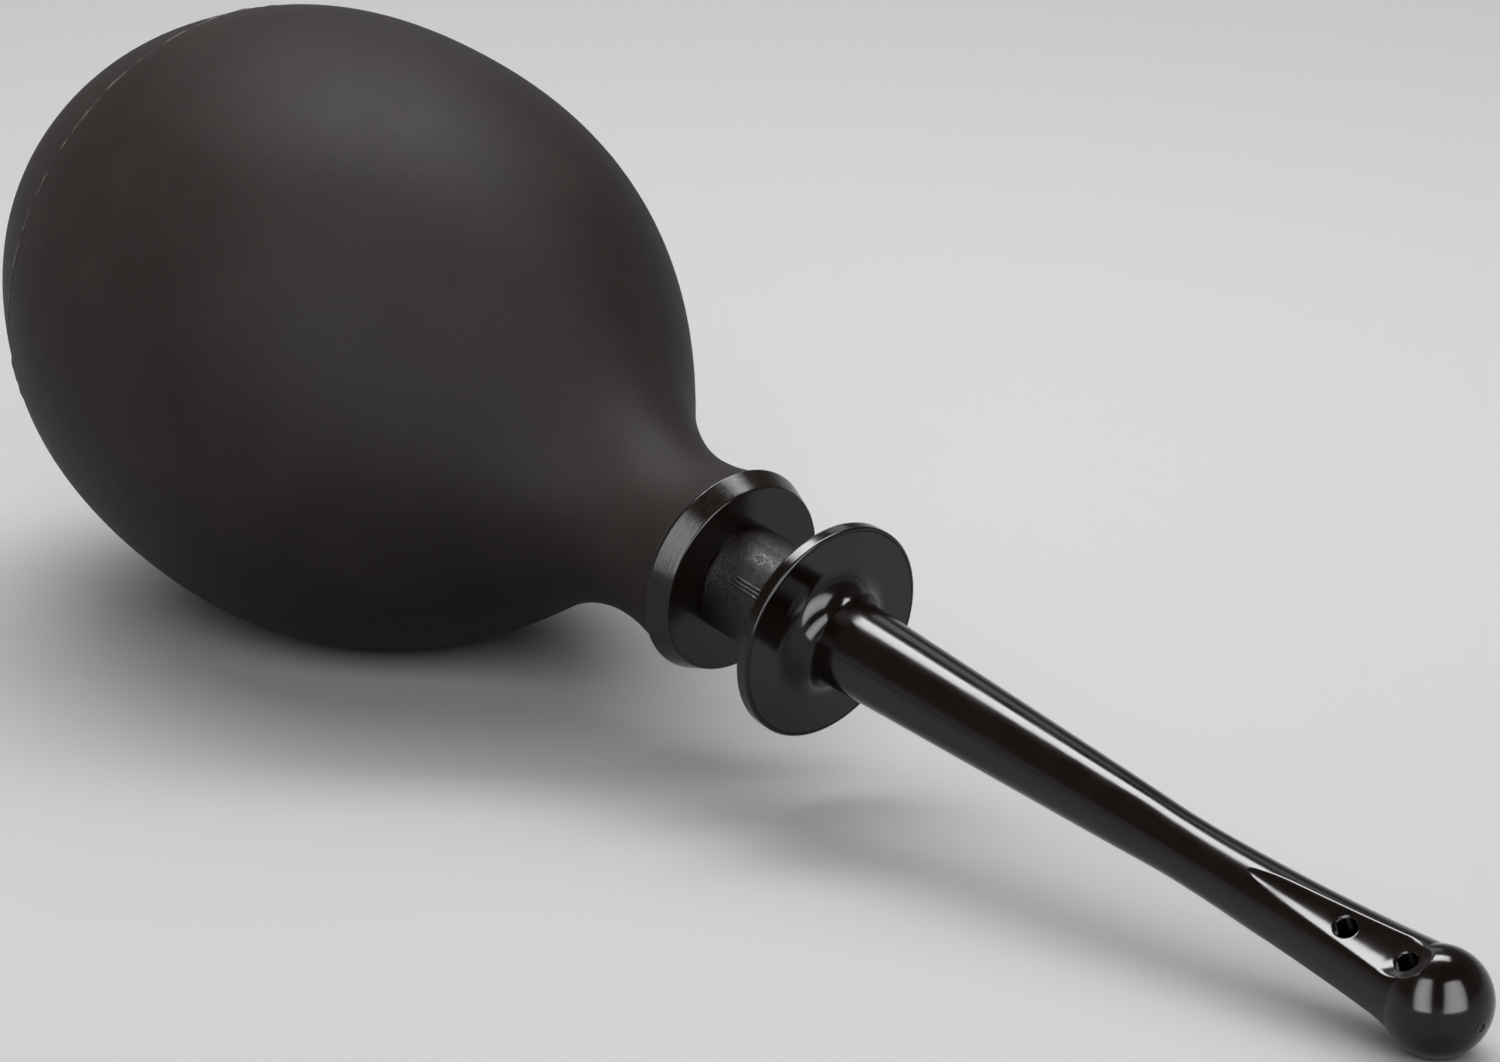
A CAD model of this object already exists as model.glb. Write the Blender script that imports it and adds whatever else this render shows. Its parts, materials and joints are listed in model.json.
"""The looks of a bulb syringe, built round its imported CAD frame.

Every turned piece is drawn in millimetres as a half outline of (radius, station) about the syringe's own
axis. Station 0 is the middle of the nozzle's flange and stations grow towards the tip. A place is an angle
round the axis: 0 is up and 90 is the near side. The finished points are turned into metres in the row frame.
"""

import json
import math

import bmesh
import bpy
import numpy as np
from mathutils import Matrix, Vector


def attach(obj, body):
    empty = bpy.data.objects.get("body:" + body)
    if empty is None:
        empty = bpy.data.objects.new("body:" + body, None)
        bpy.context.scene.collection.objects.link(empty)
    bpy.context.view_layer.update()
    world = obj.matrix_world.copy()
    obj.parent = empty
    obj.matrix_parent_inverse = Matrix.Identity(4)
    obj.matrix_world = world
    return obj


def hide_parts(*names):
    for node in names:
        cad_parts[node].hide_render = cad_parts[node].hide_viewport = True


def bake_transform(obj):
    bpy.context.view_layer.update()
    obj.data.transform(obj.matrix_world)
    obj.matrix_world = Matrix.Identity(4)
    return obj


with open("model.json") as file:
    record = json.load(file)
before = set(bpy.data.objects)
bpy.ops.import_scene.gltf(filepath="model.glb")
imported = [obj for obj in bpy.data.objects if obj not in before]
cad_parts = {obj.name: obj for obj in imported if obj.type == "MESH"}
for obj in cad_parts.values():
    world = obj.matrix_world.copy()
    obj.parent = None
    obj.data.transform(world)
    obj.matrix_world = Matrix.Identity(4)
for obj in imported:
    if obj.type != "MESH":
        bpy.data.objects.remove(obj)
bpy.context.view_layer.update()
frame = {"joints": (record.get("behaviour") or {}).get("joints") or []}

# ---------------------------------------------------------------- driving dimensions, in millimetres

MM = 0.001
SEAL_STATION = -6.65  # where the frame's nozzle joint has its point

# bulb
WALL = 2.6
REAR_POLE = -157.7
SEAM = {"station": -131.9, "radius": 38.1, "slope": 26.9}
BELLY = {"station": -101.7, "radius": 43.95}
SHOULDER = {"station": -51.4, "radius": 22.2, "slope": 41.2}
NECK = {"station": -30.2, "radius": 12.19}
LIP = {"station": -20.2, "radius": 13.9, "slope": 18, "edge": 0.5}
NECK_BORE = {"radius": 9.5, "station": -35.5}
SAG_STATION = -22.8  # the bulb's axis leans from here
SAG_FROM, SAG_TO = -23.5, -42.0  # the neck bends between these stations
CONTACT = 0.12  # softness of the belly's edge where it lies on the table
FLASH = {"height": 0.26, "width": 0.17, "groove": 0.05}

# neck coupling
COLLAR = {"rear": -19.7, "front": -16.3, "rear_radius": 14.63, "front_radius": 13.25}
TUBE = {"radius": 7.57, "front": -1.33, "bore": 5.6}
SPIGOT = {"rear": -39.8, "crest": 8.9, "valley": 8.1, "neck": 2.4}
BARB = {"count": 3, "pitch": 5.6, "rise": 4.2, "land": 0.8}
RIDGES = {"places": (56.5, 60.6, 64.7), "height": 0.17, "width": 0.13, "rear": -11.6}
PARTING = {"place": 12.5, "depth": 0.12, "width": 0.15}

# nozzle
FLANGE = {"radius": 15.07, "half": 1.03, "rear_edge": 0.45, "front_edge": 0.3}
ROOT = {"radius": 6.08, "fillet": 3.7}  # where the stem flares out to the flange
TAPER_END = {"station": 53.0, "radius": 4.55, "slope": -1.7}
WAIST = {"station": 66.0, "radius": 4.14}
BALL = {"station": 106.0, "radius": 6.88, "join": -24, "join_slope": 6.5, "shows_from": -16}
GATE = {"radius": 0.68, "depth": 0.2, "rim": 0.05}
BORE = {"radius": 2.4, "end": 104.6}
PLUG = {"rear": -11.6, "radius": 5.2, "groove_front": -5.6, "groove_width": 2.1, "groove_radius": 3.6}
FLUTES = (30.5, 150.5, 270.5)
FLUTE = {"start": 77.0, "wide": 102.0, "half_angle": 31.0, "growth": 0.434, "wall": 19.0,
         "end_from": 99.9, "end": 105.9, "end_cutter": 9.06, "end_away": 13.71, "soft": 0.4}
HOLES = {"radius": 1.5, "stations": (92.6, 102.4), "edge": 0.25, "depth": 8.0, "middle": 5.2}
SLIVER = 0.003  # edges shorter than this are closed up where the outlets are cut

# seal ring
SEAL = {"radius": 4.6, "section": 0.7}

# spacing of a mesh's rows in millimetres, and how many columns it has
BULB_GRID = {"rows": 1.25, "seam_rows": 0.11, "seam_reach": 0.9, "inner_rows": 4.5, "columns": 384}
COUPLING_GRID = {"rows": 0.45, "step": 1.8, "fine_step": 0.3, "fine_reach": 2.1}  # steps in degrees
NOZZLE_GRID = {"stem": 1.6, "flute": 0.32, "hole": 0.13, "end": 0.05, "columns": 80}  # columns for each flute
RING_GRID = {"section": 24, "columns": 96}
# the bulb isn't quite round: waves round it, phase, length along it and height
UNEVEN = ((2, 0.8, 37, 0.10), (3, 2.1, -21, 0.07), (5, 0, 9, 0.04))

# ---------------------------------------------------------------- the frame's axes

joints = {joint["name"]: joint for joint in frame["joints"]}
nozzle_axis = Vector(joints["nozzle_turn"]["axis"]).normalized()
bulb_axis = Vector(joints["rear_press"]["axis"]).normalized()
near_side = Vector((0, -1, 0))
up_side = near_side.cross(nozzle_axis)
flange_centre = Vector(joints["nozzle_turn"]["pos_m"]) - nozzle_axis * SEAL_STATION * MM
TO_ROW = np.array([near_side, nozzle_axis, up_side])  # rows: the local x, y and z directions

SAG = nozzle_axis.rotation_difference(bulb_axis)


def to_row(points):
    """Local millimetres to metres in the row frame."""
    return np.array(flange_centre) + points @ TO_ROW * MM


def from_row(points):
    """Metres in the row frame to local millimetres."""
    return (points - np.array(flange_centre)) @ TO_ROW.T / MM


def sagged(points):
    """Bends the bulb's local points to the bulb's own axis, beyond the neck."""
    share = smooth((SAG_FROM - points[..., 1]) / (SAG_FROM - SAG_TO))[..., None]
    turn_axis = TO_ROW @ np.array(SAG.axis)
    arm = points - np.array([0, SAG_STATION, 0])
    across = np.cross(turn_axis, arm)
    angle = SAG.angle * share
    turned = arm + np.sin(angle) * across + (1 - np.cos(angle)) * np.cross(turn_axis, across)
    return turned + np.array([0, SAG_STATION, 0])


# ---------------------------------------------------------------- outlines


def smooth(share):
    share = np.clip(share, 0, 1)
    return share * share * (3 - 2 * share)


def bell(distance, width):
    return np.exp(-((distance / width) ** 2))


def rising(slope):
    """Direction (radius, station) that leans outwards from the axis by slope degrees."""
    return np.array([math.sin(math.radians(slope)), math.cos(math.radians(slope))])


AHEAD = np.array([0.0, 1.0])
OUTWARDS = np.array([1.0, 0.0])


def curve(a, a_direction, a_handle, b, b_direction, b_handle, steps):
    """Points of a cubic curve from a to b."""
    a, b = np.array(a, float), np.array(b, float)
    first, second = a + a_direction * a_handle, b - b_direction * b_handle
    t = np.linspace(0, 1, steps + 1)[:, None]
    return (1 - t) ** 3 * a + 3 * t * (1 - t) ** 2 * first + 3 * t * t * (1 - t) * second + t**3 * b


def arc(radius, station, size, start, end, steps):
    """Points of an arc: 0 degrees is outwards and 90 is forwards."""
    angle = np.radians(np.linspace(start, end, steps + 1))
    return np.stack([radius + size * np.cos(angle), station + size * np.sin(angle)], 1)


def run(a, b, spacing):
    """Points of a straight run, with one close to each end so that shading stays flat between them."""
    a, b = np.array(a, float), np.array(b, float)
    length = np.linalg.norm(b - a)
    close = min(0.12, length / 4)
    steps = max(1, round((length - 2 * close) / spacing))
    along = np.concatenate([[0], np.linspace(close, length - close, steps + 1), [length]])
    return a + (b - a) * (along / length)[:, None]


def join(*parts):
    """One outline from several, without doubled points."""
    points = np.concatenate([np.atleast_2d(part) for part in parts])
    gap = np.linalg.norm(np.diff(points, axis=0), axis=1)
    return points[np.concatenate([[True], gap > 1e-4])]


def rounded(corners, spacing=2.0, steps=6):
    """An outline through corners (radius, station, rounding)."""
    parts = []
    last = np.array(corners[0][:2], float)
    for before, corner, after in zip(corners, corners[1:], corners[2:]):
        b, c, a = (np.array(point[:2], float) for point in (before, corner, after))
        size = corner[2]
        if size == 0:
            parts.append(run(last, c, spacing))
            last = c
            continue
        into, out = (c - b) / np.linalg.norm(c - b), (a - c) / np.linalg.norm(a - c)
        turn = math.acos(max(-1, min(1, into @ out)))
        back = size * math.tan(turn / 2)
        start, end = c - into * back, c + out * back
        centre = start + size * (out - into * (into @ out)) / math.sin(turn)
        spokes = [(start - centre) * math.sin(turn * (1 - t)) + (end - centre) * math.sin(turn * t)
                  for t in np.linspace(0, 1, steps + 1)]
        parts.append(run(last, start, spacing))
        parts.append(centre + np.array(spokes) / math.sin(turn))
        last = end
    parts.append(run(last, corners[-1][:2], spacing))
    return join(*parts)


def spaced(points, spacing_at):
    """Points along an outline, spaced as spacing_at(station) says."""
    length = np.concatenate([[0], np.cumsum(np.linalg.norm(np.diff(points, axis=0), axis=1))])
    steps = [0.0]
    while steps[-1] < length[-1]:
        steps.append(steps[-1] + spacing_at(np.interp(steps[-1], length, points[:, 1])))
    steps = np.array(steps) * length[-1] / steps[-1]
    return np.stack([np.interp(steps, length, points[:, k]) for k in (0, 1)], 1)


def normals(points):
    """Directions square to an outline, to the left of its travel."""
    along = np.gradient(points, axis=0)
    along /= np.linalg.norm(along, axis=1)[:, None]
    return np.stack([along[:, 1], -along[:, 0]], 1)


# ---------------------------------------------------------------- meshes


def grid_mesh(name, points, ring):
    """A closed mesh from local points (rows, columns, 3). ring joins the last row to the first;
    otherwise the first and last rows close on poles."""
    rows, columns = points.shape[:2]
    index = np.arange(rows * columns).reshape(rows, columns)
    lower, upper = (index, np.roll(index, -1, 0)) if ring else (index[:-1], index[1:])
    quads = np.stack([lower, np.roll(lower, -1, 1), np.roll(upper, -1, 1), upper], -1).reshape(-1, 4)
    vertices, faces = points.reshape(-1, 3), quads.tolist()
    if not ring:
        for row, reverse in ((0, True), (-1, False)):
            pole = len(vertices)
            vertices = np.vstack([vertices, points[row].mean(0)])
            fan = np.stack([index[row], np.roll(index[row], -1), np.full(columns, pole)], 1)
            faces += (fan[:, ::-1] if reverse else fan).tolist()
    mesh = bpy.data.meshes.new(name)
    mesh.from_pydata(to_row(vertices).tolist(), [], faces)
    mesh.update()
    piece = bpy.data.objects.new(name, mesh)
    bpy.context.scene.collection.objects.link(piece)
    return piece


def turned_points(outline, places, radius_change=None):
    """Local points of an outline (rows, 2) turned round the axis at places (columns, in degrees)."""
    radius = np.repeat(outline[:, :1], len(places), 1)
    station = np.repeat(outline[:, 1:], len(places), 1)
    if radius_change is not None:
        radius = radius + radius_change
    angle = np.radians(places)[None, :]
    return np.stack([radius * np.sin(angle), station, radius * np.cos(angle)], -1)


def outward(piece):
    """Turns the faces out if the closed mesh's volume comes out negative."""
    mesh = piece.data
    mesh.calc_loop_triangles()
    corners = np.zeros(len(mesh.loop_triangles) * 3, int)
    mesh.loop_triangles.foreach_get("vertices", corners)
    place = np.zeros(len(mesh.vertices) * 3)
    mesh.vertices.foreach_get("co", place)
    a, b, c = place.reshape(-1, 3)[corners.reshape(-1, 3)].transpose(1, 0, 2)
    if np.einsum("ij,ij->i", a, np.cross(b, c)).sum() < 0:
        mesh.flip_normals()


def dress(piece, material, sharp=35):
    """Gives a piece its shading, its material and the local coordinates that the material reads."""
    mesh = piece.data
    mesh.polygons.foreach_set("use_smooth", np.ones(len(mesh.polygons), bool))
    mesh.set_sharp_from_angle(angle=math.radians(sharp))
    place = np.zeros(len(mesh.vertices) * 3)
    mesh.vertices.foreach_get("co", place)
    local = from_row(place.reshape(-1, 3))
    coordinates = mesh.attributes.new("turned", "FLOAT_VECTOR", "POINT")
    coordinates.data.foreach_set("vector", local.astype(np.float32).ravel())
    mesh.materials.clear()
    mesh.materials.append(material)
    return local


def mark(piece, name, values):
    """Stores one number for each point of a piece, for its material to read."""
    attribute = piece.data.attributes.new(name, "FLOAT", "POINT")
    attribute.data.foreach_set("value", np.asarray(values, np.float32))


# ---------------------------------------------------------------- finishes


class Finish:
    """A material, with short ways of adding nodes to it. Lengths are in millimetres."""

    def __init__(self, name, **constants):
        self.material = bpy.data.materials.new(name)
        self.material.use_nodes = True
        self.tree = self.material.node_tree
        self.shader = self.tree.nodes["Principled BSDF"]
        for socket, value in constants.items():
            self.shader.inputs[socket.replace("_", " ")].default_value = value

    def node(self, kind, inputs=None, **settings):
        node = self.tree.nodes.new("ShaderNode" + kind)
        for key, value in settings.items():
            setattr(node, key, value)
        for key, value in (inputs or {}).items():
            self.put(node.inputs[key], value)
        return node

    def put(self, socket, value):
        if isinstance(value, bpy.types.NodeSocket):
            self.tree.links.new(value, socket)
        else:
            socket.default_value = value

    def noise(self, scale, detail=2.0, stretch=(1, 1, 1), rough=0.5):
        """Noise with features of about 1/scale, drawn out along the directions that stretch makes small."""
        where = self.node("Attribute", attribute_name="turned").outputs["Vector"]
        where = self.node("Mapping", {"Vector": where, "Scale": stretch}).outputs["Vector"]
        inputs = {"Vector": where, "Scale": scale, "Detail": detail, "Roughness": rough}
        return self.node("TexNoise", inputs).outputs["Fac"]

    def spots(self, scale, stretch=(1, 1, 1)):
        """Distance to the nearest of scattered points."""
        where = self.node("Attribute", attribute_name="turned").outputs["Vector"]
        where = self.node("Mapping", {"Vector": where, "Scale": stretch}).outputs["Vector"]
        return self.node("TexVoronoi", {"Vector": where, "Scale": scale}).outputs["Distance"]

    def read(self, name):
        """The numbers that mark() stored."""
        return self.node("Attribute", attribute_name=name).outputs["Fac"]

    def spread(self, value, low, high, to_low, to_high):
        """value, stretched so that low..high becomes to_low..to_high and goes no further."""
        inputs = {"Value": value, "From Min": low, "From Max": high, "To Min": to_low, "To Max": to_high}
        return self.node("MapRange", inputs).outputs["Result"]

    def math(self, operation, a, b):
        node = self.node("Math", operation=operation)
        self.put(node.inputs[0], a)
        self.put(node.inputs[1], b)
        return node.outputs[0]

    def plus(self, a, share, b):
        """a + share * b"""
        return self.math("ADD", a, self.math("MULTIPLY", share, b))

    def mix(self, share, a, b):
        """Colour a, turning into colour b as share grows. A Mix node's colour sockets go by number."""
        node = self.node("Mix", {"Factor": share}, data_type="RGBA")
        first, second, result = node.inputs[6], node.inputs[7], node.outputs[2]
        self.put(first, a)
        self.put(second, (*b, 1))
        return result

    def colours(self, value, *stops):
        """A colour ramp from (position, colour) pairs."""
        ramp = self.node("ValToRGB", {"Fac": value})
        elements = ramp.color_ramp.elements
        while len(elements) < len(stops):
            elements.new(0.5)
        for element, (position, colour) in zip(elements, stops):
            element.position = position
            element.color = (*colour, 1)
        return ramp.outputs["Color"]

    def bump(self, height, depth, normal=None):
        """A surface that rises by depth where height goes from 0 to 1."""
        inputs = {"Height": height, "Distance": depth * MM, "Strength": 1.0}
        if normal is not None:
            inputs["Normal"] = normal
        return self.node("Bump", inputs).outputs["Normal"]

    def set(self, **sockets):
        for socket, value in sockets.items():
            self.put(self.shader.inputs[socket.replace("_", " ")], value)
        return self.material


def bulb_rubber():
    """Warm charcoal rubber: a fine moulded grain, faint mottling and the odd rubbed or dusty place."""
    finish = Finish("bulb_rubber", Specular_IOR_Level=0.12)
    mottle = finish.noise(0.09, detail=4)
    grain = finish.noise(4.5, detail=3, rough=0.6)
    rubbed = finish.spread(finish.noise(0.35, detail=5, stretch=(1, 0.5, 1)), 0.56, 0.75, 0, 1)
    colour = finish.colours(
        mottle,
        (0.30, (0.0038, 0.0029, 0.0025)),
        (0.52, (0.0044, 0.0034, 0.0030)),
        (0.74, (0.0052, 0.0041, 0.0036)),
    )
    dust = finish.math("MULTIPLY", finish.read("flash"), finish.spread(grain, 0.35, 0.6, 0.3, 1))
    specks = finish.spread(finish.spots(0.8, stretch=(1, 0.6, 1)), 0.03, 0.11, 1, 0)
    specks = finish.math("MULTIPLY", specks, finish.spread(finish.noise(0.06), 0.5, 0.68, 0, 0.22))
    dust = finish.math("ADD", dust, specks)
    colour = finish.mix(dust, colour, (0.05, 0.047, 0.043))
    rough = finish.spread(mottle, 0.3, 0.7, 0.55, 0.61)
    rough = finish.math("ADD", rough, finish.spread(grain, 0.3, 0.7, -0.03, 0.03))
    rough = finish.math("SUBTRACT", rough, finish.math("MULTIPLY", rubbed, 0.05))
    coarse = finish.bump(finish.noise(1.1, detail=3), 0.03)
    pits = finish.bump(finish.spread(finish.spots(1.3), 0.02, 0.12, -1, 0), 0.008, coarse)
    fine = finish.bump(grain, 0.022, pits)
    return finish.set(Base_Color=colour, Roughness=rough, Normal=fine)


def coupling_plastic():
    """Black plastic: polished on the collar's face, turned satin on its band, spark-eroded on the tube."""
    finish = Finish("coupling_plastic", Specular_IOR_Level=0.32)
    grainy, satin = finish.read("grain"), finish.read("satin")
    cloud = finish.noise(0.5, detail=3)
    turned = finish.noise(1.0, detail=3, stretch=(0.35, 9, 0.35))
    eroded = finish.noise(3.2, detail=3, rough=0.75)
    colour = finish.colours(cloud, (0.3, (0.0017, 0.0010, 0.0007)), (0.7, (0.0025, 0.0016, 0.0012)))
    rough = finish.spread(cloud, 0.3, 0.7, 0.14, 0.18)
    rough = finish.plus(rough, satin, finish.spread(turned, 0.3, 0.7, 0.0, 0.06))
    rough = finish.plus(rough, grainy, finish.spread(eroded, 0.3, 0.7, -0.07, 0.0))
    lines = finish.bump(finish.math("MULTIPLY", turned, satin), 0.03)
    pitted = finish.spread(eroded, 0.4, 0.6, 0, 1)
    sparks = finish.bump(finish.math("MULTIPLY", pitted, grainy), 0.03, lines)
    return finish.set(Base_Color=colour, Roughness=rough, Normal=sparks)


def nozzle_plastic():
    """Polished black plastic, with a trace of orange peel, hairline scratches and finger haze."""
    finish = Finish("nozzle_plastic", Specular_IOR_Level=0.36)
    haze = finish.noise(0.16, detail=5)
    hair = finish.noise(1.0, detail=2, stretch=(6, 0.35, 6))
    scratch = finish.spread(hair, 0.70, 0.78, 0, 1)
    colour = finish.colours(haze, (0.3, (0.0012, 0.0006, 0.0004)), (0.7, (0.0018, 0.0011, 0.0008)))
    rough = finish.spread(haze, 0.35, 0.7, 0.12, 0.16)
    rough = finish.plus(rough, scratch, 0.05)
    peel = finish.bump(finish.noise(0.22, detail=1), 0.02)
    hairs = finish.bump(scratch, -0.0006, peel)
    return finish.set(Base_Color=colour, Roughness=rough, Normal=hairs)


def seal_rubber():
    """Matt black rubber with a fine grain."""
    finish = Finish("seal_rubber", Specular_IOR_Level=0.4)
    grain = finish.noise(4.0, detail=3)
    colour = finish.colours(grain, (0.3, (0.016, 0.015, 0.014)), (0.7, (0.024, 0.023, 0.022)))
    return finish.set(Base_Color=colour, Roughness=finish.spread(grain, 0.3, 0.7, 0.5, 0.62),
                      Normal=finish.bump(grain, 0.02))


# ---------------------------------------------------------------- bulb


def bulb_outside():
    """The bulb's outer surface from its rear pole to its lip, as a fine outline."""
    seam, belly = (SEAM["radius"], SEAM["station"]), (BELLY["radius"], BELLY["station"])
    shoulder, neck = (SHOULDER["radius"], SHOULDER["station"]), (NECK["radius"], NECK["station"])
    swell, falling = rising(SEAM["slope"]), rising(-SHOULDER["slope"])
    return join(
        curve((0, REAR_POLE), OUTWARDS, 22.8, seam, swell, 17.7, 300),
        curve(seam, swell, 11.8, belly, AHEAD, 6.9, 200),
        curve(belly, AHEAD, 21.0, shoulder, falling, 21.7, 300),
        curve(shoulder, falling, 4.0, neck, AHEAD, 9.5, 150),
        curve(neck, AHEAD, 4.0, (LIP["radius"], LIP["station"]), rising(LIP["slope"]), 3.0, 60),
    )


def flash_line(angle):
    """How much of the seam's flash is left round the bulb, from 0 to 1, and the station where it runs."""
    broken = 0.55 + 0.3 * np.sin(7 * angle + 1.3) * np.sin(17 * angle) + 0.25 * np.sin(41 * angle + 0.7)
    broken = np.clip(broken + 0.2 * np.sin(89 * angle), 0.12, 1)
    wander = SEAM["station"] + 0.10 * np.sin(9 * angle) + 0.06 * np.sin(23 * angle + 2)
    return broken, wander


def bulb():
    """One soft skin from the rear dome to the neck's open end, with its wall, bore and bonded seam."""
    outside = bulb_outside()
    grid = BULB_GRID

    def close(station):
        return grid["seam_rows"] if abs(station - SEAM["station"]) < grid["seam_reach"] else grid["rows"]

    outer = spaced(outside[outside[:, 1] < LIP["station"] - 2 * LIP["edge"]], close)
    inner = outside - WALL * normals(outside)
    inner = inner[(inner[:, 0] > 0.5) & (inner[:, 1] < NECK_BORE["station"] - 2)]
    inner = spaced(inner, lambda station: grid["inner_rows"])[::-1]
    end = outer[-1]
    lip = rounded([
        (*end, 0),
        (LIP["radius"], LIP["station"], LIP["edge"]),
        (NECK_BORE["radius"], LIP["station"], 0.4),
        (NECK_BORE["radius"], NECK_BORE["station"], 0),
        (*inner[0], 0),
    ], spacing=2.5)
    outline = join(outer[1:], lip, inner)
    station = outline[:, 1:]
    on_outer = (np.arange(len(outline)) < len(outer))[:, None]
    places = np.arange(grid["columns"]) * 360 / grid["columns"]
    angle = np.radians(places)[None, :]

    broken, wander = flash_line(angle)
    from_seam = station - wander
    flash = FLASH["height"] * broken * bell(from_seam, FLASH["width"])
    flash = flash - FLASH["groove"] * bell(from_seam - 2.6 * FLASH["width"], FLASH["width"])
    hard_end = smooth((station - SHOULDER["station"]) / (NECK["station"] - SHOULDER["station"]))
    uneven = sum(
        height * np.sin(waves * angle + phase + station / length) for waves, phase, length, height in UNEVEN)
    pole_fade = smooth(outline[:, :1] / 12)
    change = on_outer * (flash + uneven * (1 - hard_end)) * pole_fade

    pale = on_outer * np.clip(1.6 * broken - 0.5, 0, 1) * bell(from_seam, 1.2 * FLASH["width"])

    piece = grid_mesh("bulb", sagged(turned_points(outline, places, change)), ring=False)
    mark(piece, "flash", np.append(pale.ravel(), [0, 0]))  # and the two poles
    lie_flat(piece)
    outward(piece)
    dress(piece, bulb_rubber(), sharp=60)
    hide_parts("bulb_body", "bulb_rear_dome")
    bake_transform(piece)


def lie_flat(piece):
    """Presses what would be under the table up to it, with a soft edge."""
    mesh = piece.data
    place = np.zeros(len(mesh.vertices) * 3)
    mesh.vertices.foreach_get("co", place)
    height = place[2::3]
    low = height < 10 * CONTACT * MM
    soft = CONTACT * MM
    height[low] = (height[low] + np.sqrt(height[low] ** 2 + soft**2)) / 2
    mesh.vertices.foreach_set("co", place)
    mesh.update()


# ---------------------------------------------------------------- neck coupling


def coupling_places():
    """Places of the columns, which are close together at the ridges and the parting line."""
    step, fine_step, reach = (COUPLING_GRID[key] for key in ("step", "fine_step", "fine_reach"))
    details = [*RIDGES["places"], PARTING["place"]]
    close = [place + away for place in details for away in np.arange(-reach, reach + 0.01, fine_step)]
    clear = [place for place in np.arange(0, 360, step)
             if min(abs(place - other) for other in details) > reach + 0.2]
    return np.array(sorted(clear + close))


def neck_coupling():
    """Barbed spigot, bevelled collar and grained tube with three fine ridges and a parting line."""
    rear, front = COLLAR["rear"], COLLAR["front"]
    barbs = []
    for i in range(BARB["count"]):
        start = SPIGOT["rear"] + i * BARB["pitch"]
        crest = start + BARB["rise"]
        drop = crest + BARB["land"]
        barbs += [(SPIGOT["valley"], start, 0.1), (SPIGOT["crest"], crest, 0.12)]
        barbs += [(SPIGOT["crest"], drop, 0.12), (SPIGOT["valley"], drop, 0.15)]
    barbs[0] = (SPIGOT["valley"], SPIGOT["rear"], 0.4)
    middle = (SPIGOT["rear"] + TUBE["front"]) / 2
    outline = rounded([
        (TUBE["bore"], middle, 0),
        (TUBE["bore"], SPIGOT["rear"], 0.4),
        *barbs,
        (SPIGOT["crest"], rear - SPIGOT["neck"], 0.2),
        (SPIGOT["crest"], rear, 0.3),
        (COLLAR["rear_radius"], rear, 0.28),
        (COLLAR["front_radius"], front, 0.3),
        (TUBE["radius"], front, 0),
        (TUBE["radius"], TUBE["front"], 0.3),
        (TUBE["bore"], TUBE["front"], 0.3),
        (TUBE["bore"], middle, 0),
    ], spacing=COUPLING_GRID["rows"])[:-1]

    places = coupling_places()
    radius, station = outline[:, :1], outline[:, 1:]
    on_tube = (station > front + 0.3) & (station < TUBE["front"] - 0.25)
    on_tube = on_tube & (np.abs(radius - TUBE["radius"]) < 0.02)
    change = np.zeros((len(outline), len(places)))
    for place in RIDGES["places"]:
        across = TUBE["radius"] * np.radians(places - place)[None, :]
        starts = smooth((station - RIDGES["rear"]) / 0.9)
        change += RIDGES["height"] * bell(across, RIDGES["width"]) * starts
    across = TUBE["radius"] * np.radians(places - PARTING["place"])[None, :]
    change -= PARTING["depth"] * bell(across, PARTING["width"])

    piece = grid_mesh("neck_coupling_fine", turned_points(outline, places, change * on_tube), ring=True)
    outward(piece)
    local = dress(piece, coupling_plastic(), sharp=40)
    distance, along = np.hypot(local[:, 0], local[:, 2]), local[:, 1]
    mark(piece, "grain", (along > front + 0.15) & (distance < TUBE["radius"] + 0.4))
    mark(piece, "satin", smooth((front - 0.05 - along) / 0.3) * (distance > COLLAR["front_radius"] - 1))
    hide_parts("neck_coupling")
    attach(piece, "coupling")


# ---------------------------------------------------------------- nozzle


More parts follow.
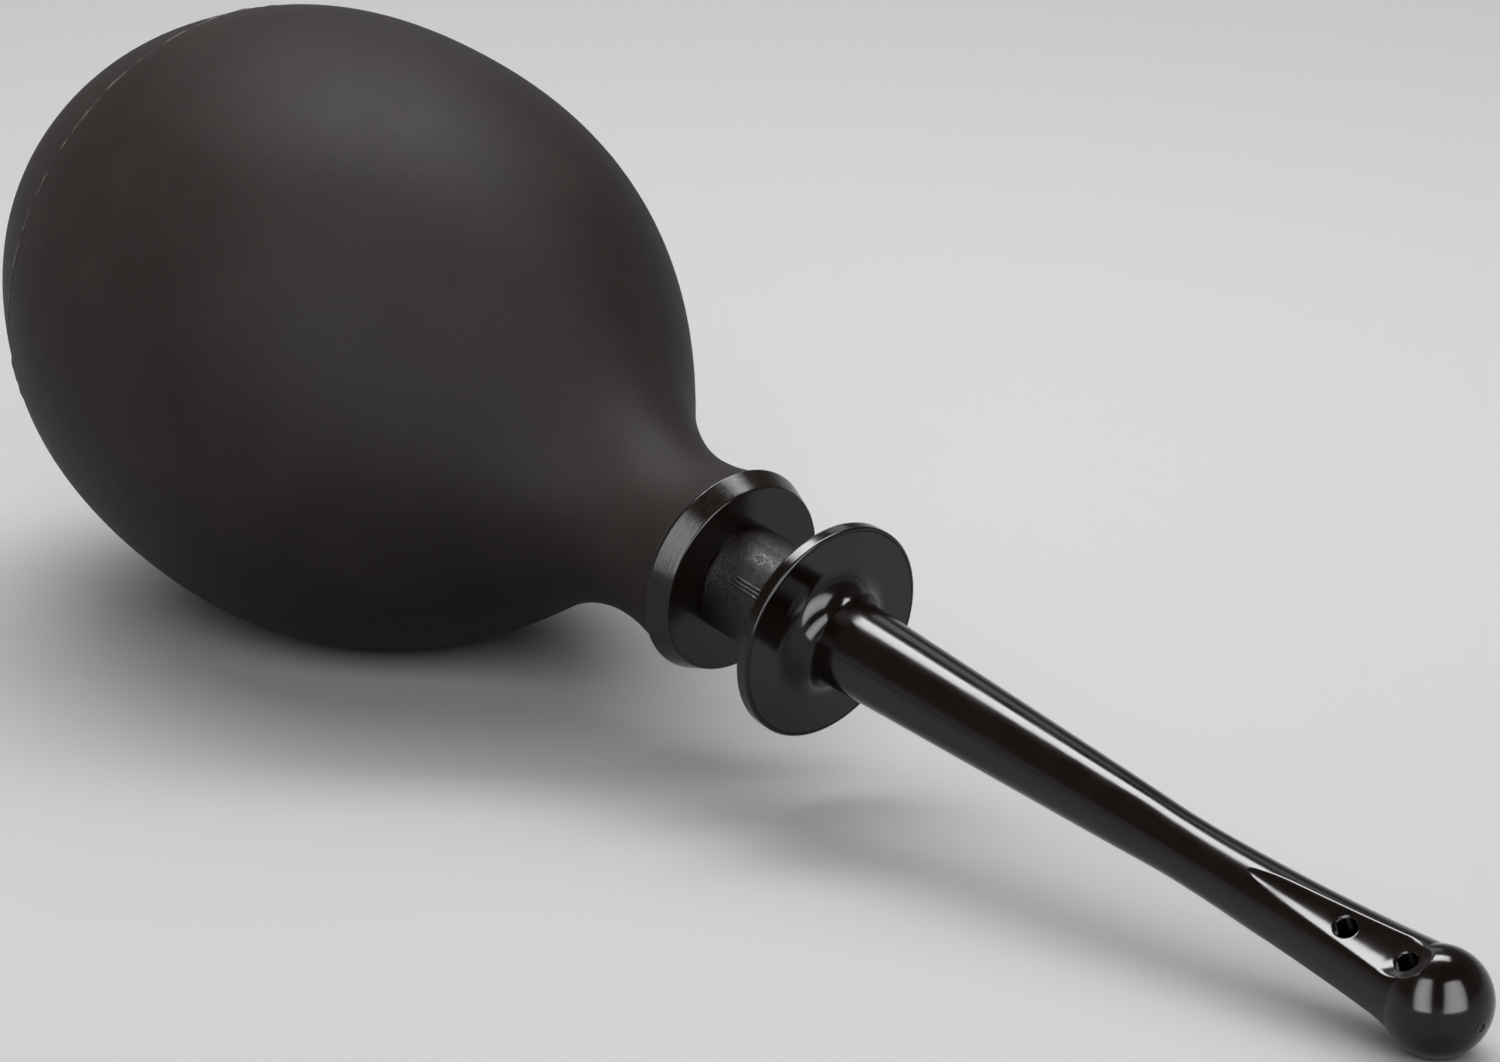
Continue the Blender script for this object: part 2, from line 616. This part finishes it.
def nozzle_outside():
    """The nozzle's outer outline from the flange's front face to the tip, with rows close in the flutes."""
    half, fillet = FLANGE["half"], ROOT["fillet"]
    root, waist = (ROOT["radius"], half + fillet), (WAIST["radius"], WAIST["station"])
    taper_end = (TAPER_END["radius"], TAPER_END["station"])
    taper = np.array(taper_end) - np.array(root)
    taper /= np.linalg.norm(taper)
    ball_start = arc(0, BALL["station"], BALL["radius"], BALL["join"], 90, 1)[0]
    stem = join(
        curve(taper_end, taper, 6, waist, AHEAD, 5, 60),
        curve(waist, AHEAD, 6, ball_start, rising(BALL["join_slope"]), 14, 400),
        arc(0, BALL["station"], BALL["radius"], BALL["shows_from"], 0, 60),
    )

    def close(station):
        near_hole = min(abs(station - hole) for hole in HOLES["stations"])
        if near_hole < HOLES["radius"] + 2 * HOLES["edge"]:
            return NOZZLE_GRID["hole"]
        if FLUTE["end"] - 0.9 < station < FLUTE["end"] + 0.1:
            return NOZZLE_GRID["end"]
        return NOZZLE_GRID["flute"] if station > FLUTE["start"] - 2 else NOZZLE_GRID["stem"]

    gate = 2.2 * GATE["radius"]
    tip = arc(0, BALL["station"], BALL["radius"], 0, math.degrees(math.acos(gate / BALL["radius"])), 34)
    crater = np.linspace(gate, 0.06, 14)
    crater = np.stack([crater, BALL["station"] + np.sqrt(BALL["radius"] ** 2 - crater**2)], 1)
    crater[:, 1] -= GATE["depth"] * (1 - smooth((crater[:, 0] / GATE["radius"] - 0.45) / 0.5))
    crater[:, 1] += GATE["rim"] * bell(crater[:, 0] - GATE["radius"] * 1.15, 0.13)
    return join(
        run((FLANGE["radius"] - FLANGE["front_edge"], half), (ROOT["radius"] + fillet, half), 1.2),
        arc(ROOT["radius"] + fillet, half + fillet, fillet, 270, 180, 22),
        run(root, taper_end, 2.5),
        spaced(stem, close),
        tip,
        crater,
    )


def flute_section(radius, station):
    """The flute's half angle at the nozzle's surface, and the distance and radius of the round cutter that
    makes it there. The walls meet the surface at the same slope all along, up to the cutter's ball end."""
    share = (np.clip(station, FLUTE["start"], None) - FLUTE["start"]) / (FLUTE["wide"] - FLUTE["start"])
    half_angle = np.radians(FLUTE["half_angle"] * np.minimum(share, 1.05) ** FLUTE["growth"])
    half_width = radius * np.sin(half_angle)
    wall = math.radians(FLUTE["wall"])
    cutter = np.maximum(half_width / math.sin(wall), 0.05)
    away = radius * np.cos(half_angle) + cutter * math.cos(wall)
    full, full_away = FLUTE["end_cutter"], FLUTE["end_away"]
    into_end = np.clip(station - FLUTE["end_from"], 0, full)
    ending = station > FLUTE["end_from"]
    cutter = np.where(ending, np.sqrt(np.maximum(full**2 - into_end**2, 0.0025)), cutter)
    away = np.where(ending, full_away, away)
    meeting = np.clip((radius**2 + away**2 - cutter**2) / (2 * radius * away), -1, 1)
    return np.where(ending, np.arccos(meeting), half_angle), away, cutter


def flute_places(radius, station):
    """Places of the columns, row by row: they gather at the flutes' edges and follow them."""
    sector = 360 / len(FLUTES)
    count, still = NOZZLE_GRID["columns"], sector / 4
    share = np.linspace(-sector / 2, sector / 2, 2001)
    weight = 1 + 2.2 * bell(np.abs(share) - still, 4.5) + 0.3 * bell(share, 14)
    total = np.concatenate([[0], np.cumsum((weight[1:] + weight[:-1]) / 2)])
    columns = np.interp(np.arange(count) / count * total[-1], total, share)

    edge = np.clip(np.degrees(flute_section(radius, station)[0]), 11, 36)
    into = smooth((station - FLUTE["start"] + 12) / 10)
    past = smooth((station - FLUTE["end"]) / 2.5)
    edge = still + (edge - still) * into * (1 - past)
    inside = np.abs(columns) <= still
    stretched = np.where(
        inside,
        columns * edge / still,
        np.sign(columns) * (edge + (sector / 2 - edge) * (np.abs(columns) - still) / (sector / 2 - still)),
    )
    return np.concatenate([stretched + place for place in FLUTES], 1)


def fluted(radius, station, places):
    """The nozzle's radius where the flutes and the rounded mouths of the outlets cut into it."""
    result = np.repeat(radius, places.shape[1], 1)
    away, cutter = flute_section(radius, station)[1:]
    for middle in FLUTES:
        turn = np.radians((places - middle + 180) % 360 - 180)
        inside = cutter**2 - (away * np.sin(turn)) ** 2
        floor = away * np.cos(turn) - np.sqrt(np.maximum(inside, 0))
        reach = (inside > 0) & (np.abs(turn) < math.pi / 3)
        reach = reach & (station > FLUTE["start"]) & (station < FLUTE["end"])
        floor = np.where(reach, floor, 99.0)
        soft = FLUTE["soft"] * smooth((station - FLUTE["start"]) / 6)
        overlap = np.maximum(soft - np.abs(result - floor), 0) / np.maximum(soft, 1e-6)
        result = np.minimum(result, floor) - overlap**2 * soft / 4
        for hole in HOLES["stations"]:
            apart = np.hypot(station - hole, result * np.sin(turn))
            apart = np.where(np.abs(turn) < math.pi / 3, apart, 99.0)
            inward = np.clip(HOLES["radius"] + HOLES["edge"] - apart, 0, HOLES["edge"])
            result = result - (HOLES["edge"] - np.sqrt(HOLES["edge"] ** 2 - inward**2))
    return result


def outlet_cutters():
    """The six drills of the outlets, as one object of separate rods."""
    angle = np.radians(np.arange(72) * 5)
    ends = (HOLES["middle"] - HOLES["depth"] / 2, HOLES["middle"] + HOLES["depth"] / 2)
    vertices, faces = [], []
    for place in FLUTES:
        turn = math.radians(place)
        out = np.array([math.sin(turn), 0, math.cos(turn)])
        side = np.array([math.cos(turn), 0, -math.sin(turn)])
        for station in HOLES["stations"]:
            first = len(vertices)
            for end in ends:
                for a in angle:
                    ring = HOLES["radius"] * (math.cos(a) * side + math.sin(a) * np.array([0, 1, 0]))
                    vertices.append(np.array([0, station, 0]) + out * end + ring)
            n = len(angle)
            near_end, far_end = range(first, first + n), range(first + n, first + 2 * n)
            faces += [(near_end[i - 1], near_end[i], far_end[i], far_end[i - 1]) for i in range(n)]
            faces += [tuple(reversed(near_end)), tuple(far_end)]
    mesh = bpy.data.meshes.new("outlet_cutters")
    mesh.from_pydata(to_row(np.array(vertices)).tolist(), [], faces)
    cutters = bpy.data.objects.new("outlet_cutters", mesh)
    bpy.context.scene.collection.objects.link(cutters)
    return cutters


def cut(piece, cutters):
    """Takes the cutters out of a piece for good."""
    outward(cutters)
    modifier = piece.modifiers.new("cut", "BOOLEAN")
    modifier.object, modifier.operation, modifier.solver = cutters, "DIFFERENCE", "MANIFOLD"
    result = bpy.data.meshes.new_from_object(piece.evaluated_get(bpy.context.evaluated_depsgraph_get()))
    work = bmesh.new()
    work.from_mesh(result)
    bmesh.ops.remove_doubles(work, verts=work.verts, dist=SLIVER * MM)
    bmesh.ops.dissolve_degenerate(work, edges=work.edges, dist=SLIVER * MM)
    work.to_mesh(result)
    work.free()
    piece.modifiers.clear()
    piece.data = result
    bpy.data.objects.remove(cutters)


def nozzle():
    """Plug, flange flaring into the tapered stem, flutes with their outlets, and the ball tip's gate mark."""
    radius, half = FLANGE["radius"], FLANGE["half"]
    groove_rear = PLUG["groove_front"] - PLUG["groove_width"]
    hidden = rounded([
        (0.15, BORE["end"], 0),
        (BORE["radius"], BORE["end"], 0.6),
        (BORE["radius"], PLUG["rear"], 0.3),
        (PLUG["radius"], PLUG["rear"], 0.4),
        (PLUG["radius"], groove_rear, 0.12),
        (PLUG["groove_radius"], groove_rear, 0.15),
        (PLUG["groove_radius"], PLUG["groove_front"], 0.15),
        (PLUG["radius"], PLUG["groove_front"], 0.12),
        (PLUG["radius"], -half, 0.3),
        (radius, -half, FLANGE["rear_edge"]),
        (radius, half, FLANGE["front_edge"]),
        (radius - 2 * FLANGE["front_edge"], half, 0),
    ], spacing=6)
    outer = nozzle_outside()
    outline = join(hidden[hidden[:, 0] > 0], outer[1:])
    station, row_radius = outline[:, 1:], outline[:, :1]
    on_stem = (np.arange(len(outline)) >= len(hidden))[:, None] & (station > TAPER_END["station"] - 10)
    places = flute_places(np.where(on_stem, row_radius, 5.0), np.where(on_stem, station, 0.0))
    cut_radius = np.where(on_stem, fluted(row_radius, station, places), row_radius)
    angle = np.radians(places)
    points = np.stack([cut_radius * np.sin(angle), station + 0 * angle, cut_radius * np.cos(angle)], -1)
    piece = grid_mesh("nozzle_fine", points, ring=False)
    outward(piece)
    cut(piece, outlet_cutters())
    dress(piece, nozzle_plastic(), sharp=38)
    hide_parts("nozzle")
    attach(piece, "nozzle")


def seal_ring():
    """Rubber ring in the plug's groove."""
    station = PLUG["groove_front"] - PLUG["groove_width"] / 2
    section = arc(SEAL["radius"], station, SEAL["section"], 0, 360, RING_GRID["section"])[:-1]
    places = np.arange(RING_GRID["columns"]) * 360 / RING_GRID["columns"]
    piece = grid_mesh("seal_ring_fine", turned_points(section, places), ring=True)
    outward(piece)
    dress(piece, seal_rubber())
    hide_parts("seal_ring")
    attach(piece, "seal")


# ---------------------------------------------------------------- stage, camera and light

AZIMUTH, ELEVATION, ROLL = 47.01, 19.295, 0.103
LENS, SENSOR = 120, 36
CAMERA_OFFSET = (-9.96, 12.93, 656.2)  # right, up and back from the flange's centre, in millimetres
STAGE_RADIUS = 4.0  # in metres
OVERHEAD = {"place": (-0.5, 0.5, 1.2), "size": 2, "radiance": 4.2}  # in metres


def camera_axes():
    """The camera's right, up and back directions in the row frame."""
    azimuth, elevation, roll = (math.radians(angle) for angle in (AZIMUTH, ELEVATION, ROLL))
    right = Vector((math.cos(azimuth), math.sin(azimuth), 0))
    back = Vector((
        math.sin(azimuth) * math.cos(elevation),
        -math.cos(azimuth) * math.cos(elevation),
        math.sin(elevation),
    ))
    up = back.cross(right)
    turned_right = right * math.cos(roll) + up * math.sin(roll)
    return turned_right, back.cross(turned_right), back


def make_camera():
    """A long lens that looks along the camera's axes, with the whole object in its frame."""
    right, up, back = camera_axes()
    data = bpy.data.cameras.new("camera")
    data.lens, data.sensor_width, data.clip_start = LENS, SENSOR, 0.01
    camera = bpy.data.objects.new("camera", data)
    offset = right * CAMERA_OFFSET[0] + up * CAMERA_OFFSET[1] + back * CAMERA_OFFSET[2]
    pose = Matrix((right, up, back)).transposed().to_4x4()
    pose.translation = flange_centre + offset * MM
    camera.matrix_world = pose
    bpy.context.scene.collection.objects.link(camera)
    bpy.context.scene.camera = camera


def fade(data, power):
    """Dims a rectangular light towards its two short sides, as (1 - 4 (x - 1/2)^2)^power of the share x
    of its width."""
    data.use_nodes = True
    nodes, links = data.node_tree.nodes, data.node_tree.links
    across = nodes.new("ShaderNodeSeparateXYZ")
    links.new(nodes.new("ShaderNodeNewGeometry").outputs["Parametric"], across.inputs[0])
    last = across.outputs["X"]
    steps = (("SUBTRACT", 0.5), ("POWER", 2), ("MULTIPLY", -4), ("ADD", 1), ("POWER", power))
    for operation, second in steps:
        step = nodes.new("ShaderNodeMath")
        step.operation, step.inputs[1].default_value = operation, second
        links.new(last, step.inputs[0])
        last = step.outputs[0]
    links.new(last, nodes["Emission"].inputs["Strength"])


def softbox(name, place, faces, width, height, radiance, edge=0.5, mirrored=True, floor="INCLUDE"):
    """A rectangular light at place = (right, up, back) from the flange's centre, in millimetres, as the
    camera sees them. It faces the point faces, given the same way. edge is how strongly it dims towards
    its short sides, and mirrored lets gloss show it. floor is EXCLUDE to light all but the floor, ONLY to
    light nothing else, or INCLUDE."""
    right, up, back = camera_axes()
    centre = flange_centre + (right * place[0] + up * place[1] + back * place[2]) * MM
    target = flange_centre + (right * faces[0] + up * faces[1] + back * faces[2]) * MM
    data = bpy.data.lights.new(name, "AREA")
    data.shape, data.size, data.size_y = "RECTANGLE", width * MM, height * MM
    data.energy = radiance * 4 * width * height * MM * MM
    fade(data, edge)
    light = bpy.data.objects.new(name, data)
    light.visible_glossy = mirrored
    if floor != "INCLUDE":
        linked = bpy.data.collections.new(name + "_link")
        linked.objects.link(bpy.data.objects["floor"])
        state = "EXCLUDE" if floor == "EXCLUDE" else "INCLUDE"
        linked.collection_objects[0].light_linking.link_state = state
        light.light_linking.receiver_collection = linked
    out = (centre - target).normalized()
    side = up.cross(out) if abs(up.dot(out)) < 0.9 else right - out * right.dot(out)
    side.normalize()
    pose = Matrix((side, out.cross(side), out)).transposed().to_4x4()
    pose.translation = centre
    light.matrix_world = pose
    bpy.context.scene.collection.objects.link(light)


def make_lights():
    """One long light above, two tall ones beside the camera, and fills that only even things out."""
    softbox("top_softbox", (-20, 500, -28), (-20, 0, -28), 560, 140, 14, edge=0.35)
    softbox("rear_softbox", (-50, 500, -330), (-50, 0, -100), 500, 180, 0.9)
    softbox("side_fill", (-620, 120, -40), (-80, 40, -60), 400, 500, 11, mirrored=False, floor="EXCLUDE")
    softbox("front_fill", (0, 300, 1100), (0, 0, 0), 1200, 600, 11, mirrored=False, floor="ONLY")
    away = 640
    for name, azimuth, half_width, rise in (("left_softbox", -29, 18, 0), ("right_softbox", 32, 22, -8)):
        turn = math.radians(azimuth)
        place = (away * math.sin(turn), away * math.tan(math.radians(rise)), away * math.cos(turn))
        width = 2 * away * math.tan(math.radians(half_width))
        softbox(name, place, (0, 0, 0), width, 1.9 * away, 6.2, floor="EXCLUDE")
    fill = bpy.data.lights.new("overhead_fill", "AREA")
    fill.size = OVERHEAD["size"]
    fill.energy = OVERHEAD["radiance"] * 4 * fill.size**2
    overhead = bpy.data.objects.new("overhead_fill", fill)
    overhead.location = OVERHEAD["place"]
    overhead.visible_glossy = False
    bpy.context.scene.collection.objects.link(overhead)


def make_world():
    """A studio that is white behind the table's edge and darker above and in front."""
    world = bpy.data.worlds.new("studio")
    bpy.context.scene.world = world
    world.use_nodes = True
    tree = world.node_tree
    background = tree.nodes["Background"]
    where = tree.nodes.new("ShaderNodeTexCoord")
    split = tree.nodes.new("ShaderNodeSeparateXYZ")
    ramp = tree.nodes.new("ShaderNodeValToRGB")
    tree.links.new(where.outputs["Generated"], split.inputs[0])
    tree.links.new(split.outputs["Z"], ramp.inputs["Fac"])
    stops = ((0.0, 0.6), (0.10, 0.5), (0.28, 0.14), (1.0, 0.06))
    while len(ramp.color_ramp.elements) < len(stops):
        ramp.color_ramp.elements.new(0.5)
    for element, (position, value) in zip(ramp.color_ramp.elements, stops):
        element.position = position
        element.color = (value, value, value, 1)
    tree.links.new(ramp.outputs["Color"], background.inputs["Color"])


def make_stage():
    """A round pale floor."""
    angle = np.radians(np.arange(96) * 3.75)
    rim = np.stack([np.sin(angle), np.cos(angle), 0 * angle], 1) * STAGE_RADIUS
    mesh = bpy.data.meshes.new("floor")
    mesh.from_pydata(rim.tolist(), [], [tuple(range(len(rim)))[::-1]])
    floor = bpy.data.objects.new("floor", mesh)
    bpy.context.scene.collection.objects.link(floor)
    finish = Finish("floor_pale", Base_Color=(0.16, 0.16, 0.16, 1), Roughness=0.9, Specular_IOR_Level=0.1)
    mesh.materials.append(finish.material)


bpy.context.scene.view_settings.view_transform = "Standard"
make_camera()
make_world()
make_stage()
make_lights()
bulb()
neck_coupling()
seal_ring()
nozzle()
